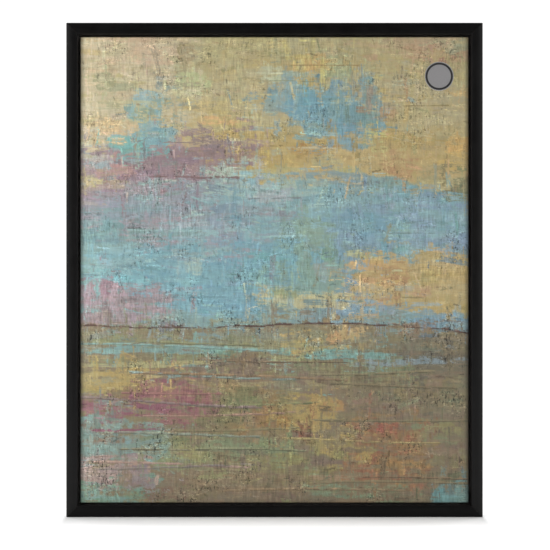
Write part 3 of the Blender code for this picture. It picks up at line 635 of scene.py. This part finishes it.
def painted():
    m = Tree("painted_face", Specular_IOR_Level=0.35)
    weave = m.weave()
    top = m.add("Attribute", attribute_name="paint", output="Color")
    under = m.add("Attribute", attribute_name="under", output="Color")
    grip = m.add("Attribute", attribute_name="grip", output="Fac")
    where = m.place()
    fine = m.noise(where, 850, 4, 0.7)
    dragged = m.noise(m.place((0.1, 1, 1)), 900, 4, 0.7)
    # Thin paint catches the tops of the threads first, and a dry brush leaves streaks bare
    uneven = m.math("ADD", m.math("MULTIPLY", fine, 0.9), m.math("MULTIPLY", dragged, 0.8))
    caught = m.math("ADD", m.math("MINIMUM", grip, 0.8), m.math("SUBTRACT", uneven, 0.85))
    caught = m.math("ADD", caught, m.math("MULTIPLY", m.math("SUBTRACT", weave, 0.6), 0.22))
    colour = m.mix(m.ramp(caught, 0.44, 0.56), under, top)
    # Pigment that wasn't mixed through: warmer and cooler streaks and crumbs
    warm = m.ramp(m.noise(m.place((0.2, 1, 1), shift=(0.9, 0, 0.2)), 330, 4, 0.7), 0.46, 0.6, 0.0, 0.17)
    colour = m.mix(warm, colour, (1.0, 0.8, 0.6), "MULTIPLY")
    cool = m.ramp(m.noise(m.place((1, 1, 0.25), shift=(0.1, 0, 0.5)), 300, 4, 0.7), 0.48, 0.62, 0.0, 0.16)
    colour = m.mix(cool, colour, (0.72, 0.92, 1.0), "MULTIPLY")
    # Painted shade in the weave's hollows, and painted highlight on the threads' tops
    weave_shade = m.ramp(weave, 0.0, 0.9, 0.86, 1.06)
    slub = m.noise(m.place((1, 1, 0.16)), 560, 3, 0.65)
    slub_across = m.noise(m.place((0.11, 1, 1)), 620, 3, 0.65)
    slub, slub_across = m.ramp(slub, 0.34, 0.66, -0.14, 0.13), m.ramp(slub_across, 0.32, 0.68, -0.07, 0.07)
    slubs = m.math("ADD", slub, slub_across)
    # The threads stand out where the paint is thin, and are buried where it is thick
    thin = m.ramp(m.noise(m.place(shift=(0.6, 0, 0.3)), 15, 4, 0.65), 0.42, 0.6, 0.3, 1.4)
    slubs = m.math("MULTIPLY", thin, slubs)
    # Painted highlights for crumbs of paint and painted shade for the pits beside them, in colour only, lie
    # in flocks
    _, _, height = m.coordinates(where)
    lower = m.ramp(height, MIDDLE_Z, MIDDLE_Z - 80 * MM, 1.0, 1.45)
    flock = m.math("MULTIPLY", lower, m.ramp(m.noise(where, 24, 4, 0.62), 0.47, 0.64, 0.0, 1.8))
    pit_shade_place, crumb_highlight_place = m.place((1, 1, 0.4)), m.place((0.4, 1, 1), shift=(0.3, 0, 0.7))
    painted_pit_shade = m.ramp(m.noise(pit_shade_place, 560, 3, 0.65), 0.565, 0.615, 0.0, -0.32)
    painted_crumb_highlight = m.ramp(m.noise(crumb_highlight_place, 560, 3, 0.65), 0.565, 0.615, 0.0, 0.28)
    flocked = m.math("MULTIPLY", flock, m.math("ADD", painted_pit_shade, painted_crumb_highlight))
    tone = m.math("ADD", m.math("ADD", weave_shade, slubs), flocked)
    shade = m.add("CombineColor", {"Red": tone, "Green": tone, "Blue": tone})
    colour = m.mix(1.0, colour, shade, "MULTIPLY")
    rough = m.ramp(m.noise(where, 60, 4), 0.3, 0.7, 0.5, 0.68)
    surface = m.bump(weave, 0.12 * MM, 0.5)
    surface = m.bump(dragged, 0.16 * MM, 0.45, surface)
    surface = m.bump(caught, 0.12 * MM, 0.6, surface)
    return m.finish(colour, rough, surface)


def cotton(name, light, dark, sheen):
    """Bare cotton duck, or the same cloth under white primer."""
    light, dark = np.array(light), np.array(dark)
    m = Tree(name, Specular_IOR_Level=0.2, Sheen_Weight=sheen)
    weave = m.weave()
    where = m.place()
    slub = m.noise(m.place((1, 1, 0.06)), 480, 3, 0.6)
    slub_across = m.noise(m.place((0.06, 1, 1)), 480, 3, 0.6)
    uneven = m.math("ADD", m.math("MULTIPLY", slub, 0.5), m.math("MULTIPLY", slub_across, 0.5))
    colour = m.mix(m.ramp(uneven, 0.3, 0.7, 0.2, 0.9), dark, light)
    # Painted shade in the weave's hollows
    colour = m.mix(m.ramp(weave, 0.0, 0.8, 0.55, 0.0), colour, dark * 0.55)
    seeds = m.ramp(m.noise(where, 260, 2, 0.5), 0.7, 0.76, 0.0, 0.6)
    colour = m.mix(seeds, colour, dark * 0.45)
    blotch = m.ramp(m.noise(where, 9, 3), 0.3, 0.7, 0.0, 0.22)
    colour = m.mix(blotch, colour, dark * 0.9)
    surface = m.bump(weave, 0.25 * MM, 0.8)
    surface = m.bump(uneven, 0.2 * MM, 0.5, surface)
    return m.finish(colour, 0.9, surface)


def black_paint(name, along, gloss):
    """Satin black paint on open-grained wood. along is the axis that the grain follows."""
    m = Tree(name, Specular_IOR_Level=gloss)
    where, lengthwise = m.place(), m.place(drawn_out(along, 0.03))
    grain = m.noise(lengthwise, 900, 4, 0.6, 0.3)
    pores = m.noise(lengthwise, 2600, 2, 0.5)
    colour = m.mix(m.ramp(grain, 0.35, 0.7), (0.0016, 0.0014, 0.0014), (0.0036, 0.0033, 0.0032))
    dust = m.ramp(m.noise(where, 38, 5, 0.65), 0.45, 0.8, 0.0, 0.35)
    colour = m.mix(dust, colour, (0.008, 0.0075, 0.0072))
    # Inside the float gap, as far back as the cloth, the black turns greyer: painted light, for what
    # bounces off the cloth's side into the gap, with dust that stays there
    x, y, z = m.coordinates(where)
    beyond_x = m.math("SUBTRACT", m.math("ABSOLUTE", x), SIGHT_X)
    beyond_z = m.math("SUBTRACT", m.math("ABSOLUTE", m.math("SUBTRACT", z, MIDDLE_Z)), SIGHT_Z)
    beyond = m.math("MAXIMUM", beyond_x, beyond_z)
    deeper = m.ramp(y, FRAME_FRONT_Y + 2 * MM, FRAME_FRONT_Y + 16 * MM)
    ending = m.ramp(y, BACK_Y + 0.8 * MM, BACK_Y + 0.5 * MM)
    inner = m.math("MULTIPLY", m.ramp(beyond, 0.5 * MM, -0.1 * MM), m.math("MULTIPLY", deeper, ending))
    colour = m.mix(inner, colour, (0.13, 0.12, 0.115))
    # Handling has rubbed the arrises
    rounded = m.add("Bevel", {"Radius": 1.1 * MM}, samples=4)
    true = m.add("NewGeometry", output="True Normal")
    bent = m.add("VectorMath", {0: rounded, 1: true}, output="Value", operation="DOT_PRODUCT")
    patchy = m.ramp(m.noise(where, 90, 4, 0.7), 0.42, 0.62)
    rubbed = m.math("MULTIPLY", m.ramp(bent, 0.985, 0.86), patchy)
    colour = m.mix(m.math("MULTIPLY", rubbed, 0.4), colour, (0.05, 0.04, 0.033))
    satin = m.ramp(m.noise(where, 70, 4), 0.3, 0.7, 0.33, 0.4)
    rough = m.math("ADD", satin, m.math("MULTIPLY", rubbed, 0.12))
    surface = m.bump(grain, 0.12 * MM, 0.35)
    surface = m.bump(pores, 0.06 * MM, 0.25, surface)
    return m.finish(colour, rough, surface)


def wood(name, along, light, dark, ring_size, fleck):
    """Bare planed wood with its grain along an axis: growth rings, pores and darker flecks."""
    light, dark = np.array(light), np.array(dark)
    m = Tree(name, Specular_IOR_Level=0.3)
    lengthwise = m.place(drawn_out(along, 0.045))
    rings = m.add(
        "TexWave",
        {"Vector": lengthwise, "Scale": ring_size, "Distortion": 7.0, "Detail": 3.0,
         "Detail Scale": 0.8, "Detail Roughness": 0.6},
        output="Fac", wave_type="RINGS", rings_direction=along, wave_profile="SAW",
    )
    fibre = m.noise(lengthwise, 1500, 4, 0.65)
    colour = m.mix(m.ramp(rings, 0.1, 0.95), light, dark)
    colour = m.mix(m.ramp(fibre, 0.4, 0.62, 0.0, 0.5), colour, dark * 0.8)
    warm = m.ramp(m.noise(m.place(), 14, 3), 0.3, 0.7, 0.0, 0.35)
    colour = m.mix(warm, colour, light * (1.02, 0.93, 0.8))
    specks = m.ramp(m.noise(lengthwise, fleck, 2, 0.5), 0.68, 0.74, 0.0, 0.55)
    colour = m.mix(specks, colour, dark * 0.5)
    rough = m.ramp(fibre, 0.3, 0.7, 0.58, 0.74)
    surface = m.bump(fibre, 0.15 * MM, 0.5)
    surface = m.bump(rings, 0.12 * MM, 0.3, surface)
    return m.finish(colour, rough, surface)


def metal(name, light, dark, rough_low, rough_high, scratch):
    """Clouded plating with patches of grime and fine scratches, scratch of them to a metre."""
    light, dark = np.array(light), np.array(dark)
    m = Tree(name, Metallic=1.0)
    where = m.place()
    cloud = m.noise(where, 160, 4, 0.6)
    colour = m.mix(m.ramp(cloud, 0.3, 0.7), dark, light)
    grime = m.ramp(m.noise(where, 420, 4, 0.7), 0.52, 0.75, 0.0, 0.45)
    colour = m.mix(grime, colour, dark * 0.5)
    rough = m.ramp(m.noise(where, 700, 3, 0.6), 0.3, 0.7, rough_low, rough_high)
    surface = m.bump(m.noise(m.place((1, 1, 0.08)), scratch, 3, 0.7), 0.04 * MM, 0.4)
    return m.finish(colour, rough, surface)


def rubber():
    m = Tree("moulded_rubber", Specular_IOR_Level=0.4)
    where = m.place()
    colour = m.mix(m.ramp(m.noise(where, 500, 4), 0.35, 0.7), (0.018, 0.018, 0.019), (0.04, 0.039, 0.038))
    rough = m.ramp(m.noise(where, 300, 3), 0.3, 0.7, 0.55, 0.75)
    return m.finish(colour, rough, m.bump(m.noise(where, 2500, 2), 0.05 * MM, 0.5))


def smooth_shading(obj, angle):
    """Shades a CAD node's curved faces smoothly: a corner takes the average of the faces round its point
    that lean less than the angle away from its own."""
    mesh = obj.data
    count = len(mesh.loops)
    vertex = np.empty(count, int)
    mesh.loops.foreach_get("vertex_index", vertex)
    place = np.empty(len(mesh.vertices) * 3)
    mesh.vertices.foreach_get("co", place)
    key = np.round(place.reshape(-1, 3) * 1e5).astype(int)
    _, point = np.unique(key, axis=0, return_inverse=True)
    point = point.ravel()[vertex]
    normal, area, owner = [], [], np.empty(count, int)
    for polygon in mesh.polygons:
        normal.append(tuple(polygon.normal))
        area.append(polygon.area)
        owner[list(polygon.loop_indices)] = polygon.index
    normal, area = np.array(normal), np.array(area)
    order = np.argsort(point, kind="stable")
    splits = np.flatnonzero(np.diff(point[order])) + 1
    result = np.empty((count, 3))
    limit = cos(radians(angle))
    for group in np.split(order, splits):
        n = normal[owner[group]]
        near = (n @ n.T > limit) * area[owner[group]][None, :]
        total = near @ n
        result[group] = total / np.maximum(np.linalg.norm(total, axis=1, keepdims=True), 1e-12)
    mesh.polygons.foreach_set("use_smooth", [True] * len(mesh.polygons))
    mesh.normals_split_custom_set([tuple(n) for n in result])


def give(obj, material):
    """Puts one material in every slot of a piece or a CAD node."""
    if not obj.data.materials:
        obj.data.materials.append(material)
    for slot in obj.material_slots:
        slot.material = material


# The round label: a plain grey sticker with a black ring and a white cut edge, on the painted cloth

STICKER = 0.26 * MM  # how far its face stands off the paint
CURL = 0.25 * MM  # how far its edge lifts in one place


def sticker_paper(centre, radius):
    m = Tree("plain_sticker", Specular_IOR_Level=0.5)
    where = m.place()
    middle = m.add("VectorMath", {0: where, 1: centre}, operation="SUBTRACT")
    flat = m.add("VectorMath", {0: middle, 1: (1, 0, 1)}, operation="MULTIPLY")
    reach = m.add("VectorMath", {0: flat}, output="Value", operation="LENGTH")
    mottle = m.ramp(m.noise(where, 1200, 3), 0.3, 0.7)
    colour = m.mix(mottle, (0.19, 0.185, 0.186), (0.22, 0.215, 0.216))
    ring_starts = m.ramp(reach, radius * 0.8, radius * 0.81)
    ring_ends = m.ramp(reach, radius * 0.945, radius * 0.935)
    colour = m.mix(m.math("MULTIPLY", ring_starts, ring_ends), colour, (0.006, 0.006, 0.006))
    cut = m.ramp(reach, radius * 0.992, radius * 0.998)
    colour = m.mix(cut, colour, (0.6, 0.6, 0.58))
    rough = m.ramp(m.noise(where, 400, 3), 0.3, 0.7, 0.36, 0.46)
    surface = m.bump(m.weave(), 0.04 * MM, 0.5)
    return m.finish(colour, rough, surface)


def make_label():
    low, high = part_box("round_label")
    centre_x, centre_z, radius = (low.x + high.x) / 2, (low.z + high.z) / 2, (high.x - low.x) / 2
    smooth = paint.relief  # the sticker bridges the paint's small bumps
    for _ in range(3):
        smooth = (smooth + np.roll(smooth, 1, 0) + np.roll(smooth, -1, 0) + np.roll(smooth, 1, 1)
                  + np.roll(smooth, -1, 1)) / 5
    around, inner_rings = 96, 14
    # Each ring's share of the radius, and how far it drops back from the face to make the rim
    rings = [(i / inner_rings, 0.0) for i in range(inner_rings)]
    rings += [(0.965, 0.0), (0.99, 0.03 * MM), (1.0, 0.1 * MM), (1.0, 0.22 * MM)]
    points, faces = [], []
    for share, drop in rings:
        for k in range(around if share else 1):
            angle = 2 * pi * k / around
            x, z = centre_x + radius * share * cos(angle), centre_z + radius * share * sin(angle)
            column = round((x - canvas_low.x) / WIDTH * COLUMNS)
            row = round((canvas_high.z - z) / HEIGHT * ROWS)
            lifted = CURL * max(0.0, share - 0.8) / 0.2 * max(0.0, cos(angle + 0.9)) ** 6
            points.append((x, FRONT_Y - smooth[row, column] - STICKER - lifted + drop, z))
    for k in range(around):
        faces.append((0, 1 + (k + 1) % around, 1 + k))
    for ring in range(len(rings) - 2):
        a, b = 1 + ring * around, 1 + (ring + 1) * around
        for k in range(around):
            n = (k + 1) % around
            faces.append((a + k, a + n, b + n, b + k))
    faces.append([b + k for k in range(around)])
    made = shaped("round_sticker", points, faces)
    made.data.polygons.foreach_set("use_smooth", [True] * (len(faces) - 1) + [False])
    made.data.update()
    give(made, sticker_paper((centre_x, FRONT_Y, centre_z), radius))
    return made


# Dried glue closes the frame's four mitres, a little below the paint


def dried_glue():
    m = Tree("dried_glue", Specular_IOR_Level=0.2)
    stain = m.noise(m.place(), 600, 3, 0.6)
    colour = m.mix(stain, (0.002, 0.0018, 0.0018), (0.008, 0.007, 0.006))
    return m.finish(colour, m.ramp(stain, 0.3, 0.7, 0.4, 0.6))


def make_mitre_glue():
    face = OUTER_X - SIGHT_X
    shy, arris = 0.5 * MM, 1.1 * MM  # how far it stays back from the sides, and from the face's arrises
    camber = 40 * MM  # radius of the rails' face
    below, thin = 0.45 * MM, 0.1 * MM  # how far it lies under that face, and half its thickness
    nail_front, nail_side = 4 * MM, 12.2 * MM  # it goes round the V nail
    ledge_front, ledge_back = BACK_Y + 0.8 * MM, FRAME_BACK_Y - shy
    front_steps = 6
    # Its outline in the mitre: the distance in from the frame's outside, and Y
    outline = [(shy, nail_front), (shy, FRAME_FRONT_Y + arris + 0.6 * MM)]
    for i in range(front_steps + 1):
        place = arris + (face - 2 * arris) * i / front_steps
        outline.append((place, FRAME_FRONT_Y + below + (place - face / 2) ** 2 / (2 * camber)))
    outline += [
        (face - shy, FRAME_FRONT_Y + arris + 0.6 * MM), (face - shy, ledge_front),
        (face + 5 * MM, ledge_front), (face + 5 * MM, ledge_back),
        (nail_side, ledge_back), (nail_side, nail_front),
    ]
    points, faces, count = [], [], len(outline)
    for sx in (-1, 1):
        for sz in (-1, 1):
            near, far = (range(len(points) + k * count, len(points) + (k + 1) * count) for k in (0, 1))
            for aside in (-thin, thin):
                points += [(sx * (OUTER_X - d + aside), y, MIDDLE_Z + sz * (OUTER_Z - d - aside))
                           for d, y in outline]
            rim = [(near[k - 1], far[k - 1], far[k], near[k]) for k in range(count)]
            faces += [f if sx * sz > 0 else f[::-1] for f in [list(near), list(reversed(far)), *rim]]
    made = shaped("mitre_glue", points, faces)
    give(made, dried_glue())
    return made


# Building

cloth = make_cloth()
for material in (
    painted(),
    cotton("primed_cotton", (0.62, 0.6, 0.55), (0.5, 0.47, 0.41), 0.0),
    cotton("bare_cotton", (0.5, 0.42, 0.3), (0.36, 0.28, 0.18), 0.15),
):
    cloth.data.materials.append(material)
label = make_label()
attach(cloth, ROOT)
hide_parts("painted_canvas")
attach(label, ROOT)
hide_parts("round_label")
glue = make_mitre_glue()
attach(glue, ROOT)

black = {
    "X": black_paint("satin_black_across", "X", 0.1),
    "Z": black_paint("satin_black_upright", "Z", 0.17),
}
pine_colours = (0.66, 0.47, 0.27), (0.5, 0.31, 0.15)
beech_colours = (0.56, 0.38, 0.23), (0.44, 0.27, 0.15)
grains = (("X", "across"), ("Z", "upright"))
pine = {axis: wood(f"pine_{word}", axis, *pine_colours, 130, 260) for axis, word in grains}
beech = {axis: wood(f"beech_{word}", axis, *beech_colours, 260, 700) for axis, word in grains}
zinc = metal("zinc_plating", (0.62, 0.63, 0.64), (0.46, 0.47, 0.49), 0.26, 0.42, 900)
nickel = metal("nickel_plating", (0.72, 0.7, 0.65), (0.58, 0.56, 0.51), 0.16, 0.28, 1500)
moulded = rubber()

for name, node in nodes.items():
    words = name.split("_")
    grain = "X" if "top" in words or "bottom" in words else "Z"
    if name.startswith("frame_rail"):
        give(node, black[grain])
        smooth_shading(node, 12)
    elif name.startswith("stretcher_bar"):
        give(node, pine[grain])
        smooth_shading(node, 35)
    elif name.startswith("corner_key"):  # its grain runs the way it is driven in
        give(node, beech["Z" if words[2] in ("top", "bottom") else "X"])
    elif name.startswith(("staple", "v_nail", "canvas_screw", "hanger_screw")):
        give(node, zinc)
        smooth_shading(node, 35)
    elif name.startswith(("hanger_strap", "hanger_ring")):
        give(node, nickel)
        smooth_shading(node, 40)
    elif name.startswith("wall_bumper"):
        give(node, moulded)
        smooth_shading(node, 35)


# Floor, light and camera


def floor():
    reach, around = 1.7, 64
    rim = [(reach * cos(2 * pi * k / around), reach * sin(2 * pi * k / around), 0) for k in range(around)]
    made = shaped("floor", rim, [range(around)])
    made.location.z = -0.3 * MM  # just clear of the frame
    m = Tree("pale_floor", Specular_IOR_Level=0.1, Roughness=0.9, Emission_Strength=0.06)
    where = m.place()
    tone = m.ramp(m.noise(where, 3, 2), 0.3, 0.7)
    m.set(m.shader.inputs["Emission Color"], (1, 1, 1, 1))
    give(made, m.finish(m.mix(tone, (0.79, 0.79, 0.79), (0.81, 0.81, 0.81))))


def softbox(name, place, target, size, power):
    light = bpy.data.lights.new(name, "AREA")
    light.shape, light.size, light.size_y = "RECTANGLE", *size
    light.energy = power
    made = placed(name, light)
    made.location = place
    made.rotation_euler = (Vector(target) - Vector(place)).to_track_quat("-Z", "Y").to_euler()


floor()
aim = (0, 0, MIDDLE_Z)
softbox("key_left", (-1.25, -1.15, 1.3), aim, (0.8, 1.0), 16.5)
softbox("key_right", (1.7, -1.5, 1.5), aim, (0.9, 1.2), 19.5)
softbox("edge_left", (-1.15, -1.65, 0.35), aim, (0.25, 1.2), 6.5)
softbox("edge_right", (1.15, -1.65, 0.35), aim, (0.25, 1.2), 6.5)
# High up, so that the frame's shadow doesn't widen, and long, so that it fades out in front
softbox("overhead", (0, 4.75, 60), (0, 4.75, 0), (1.2, 10.5), 27500)
softbox("back_left", (-1.5, 1.4, 2.1), aim, (1.2, 1.2), 18)
softbox("back_right", (1.5, 1.4, 2.1), aim, (1.2, 1.2), 18)

world = bpy.data.worlds.new("studio")
bpy.context.scene.world = world
world.use_nodes = True
background = world.node_tree.nodes["Background"]
path = world.node_tree.nodes.new("ShaderNodeLightPath")
brightness = world.node_tree.nodes.new("ShaderNodeMapRange")
world.node_tree.links.new(path.outputs["Is Camera Ray"], brightness.inputs["Value"])
brightness.inputs["To Min"].default_value = 0.1
brightness.inputs["To Max"].default_value = 1.1
world.node_tree.links.new(brightness.outputs["Result"], background.inputs["Strength"])
background.inputs["Color"].default_value = (1, 1, 1, 1)
bpy.context.scene.view_settings.view_transform = "Standard"

camera = bpy.data.cameras.new("camera")
DISTANCE = 2.4
FRAMED = 0.7178  # width of the view at the frame's front
camera.lens = camera.sensor_width * DISTANCE / FRAMED
camera.clip_end = 50
camera.shift_x, camera.shift_y = 0.0009, -0.0093
shot = placed("camera", camera)
shot.location = (0, FRAME_FRONT_Y - DISTANCE, MIDDLE_Z)
shot.rotation_euler = (pi / 2, 0, 0)
bpy.context.scene.camera = shot
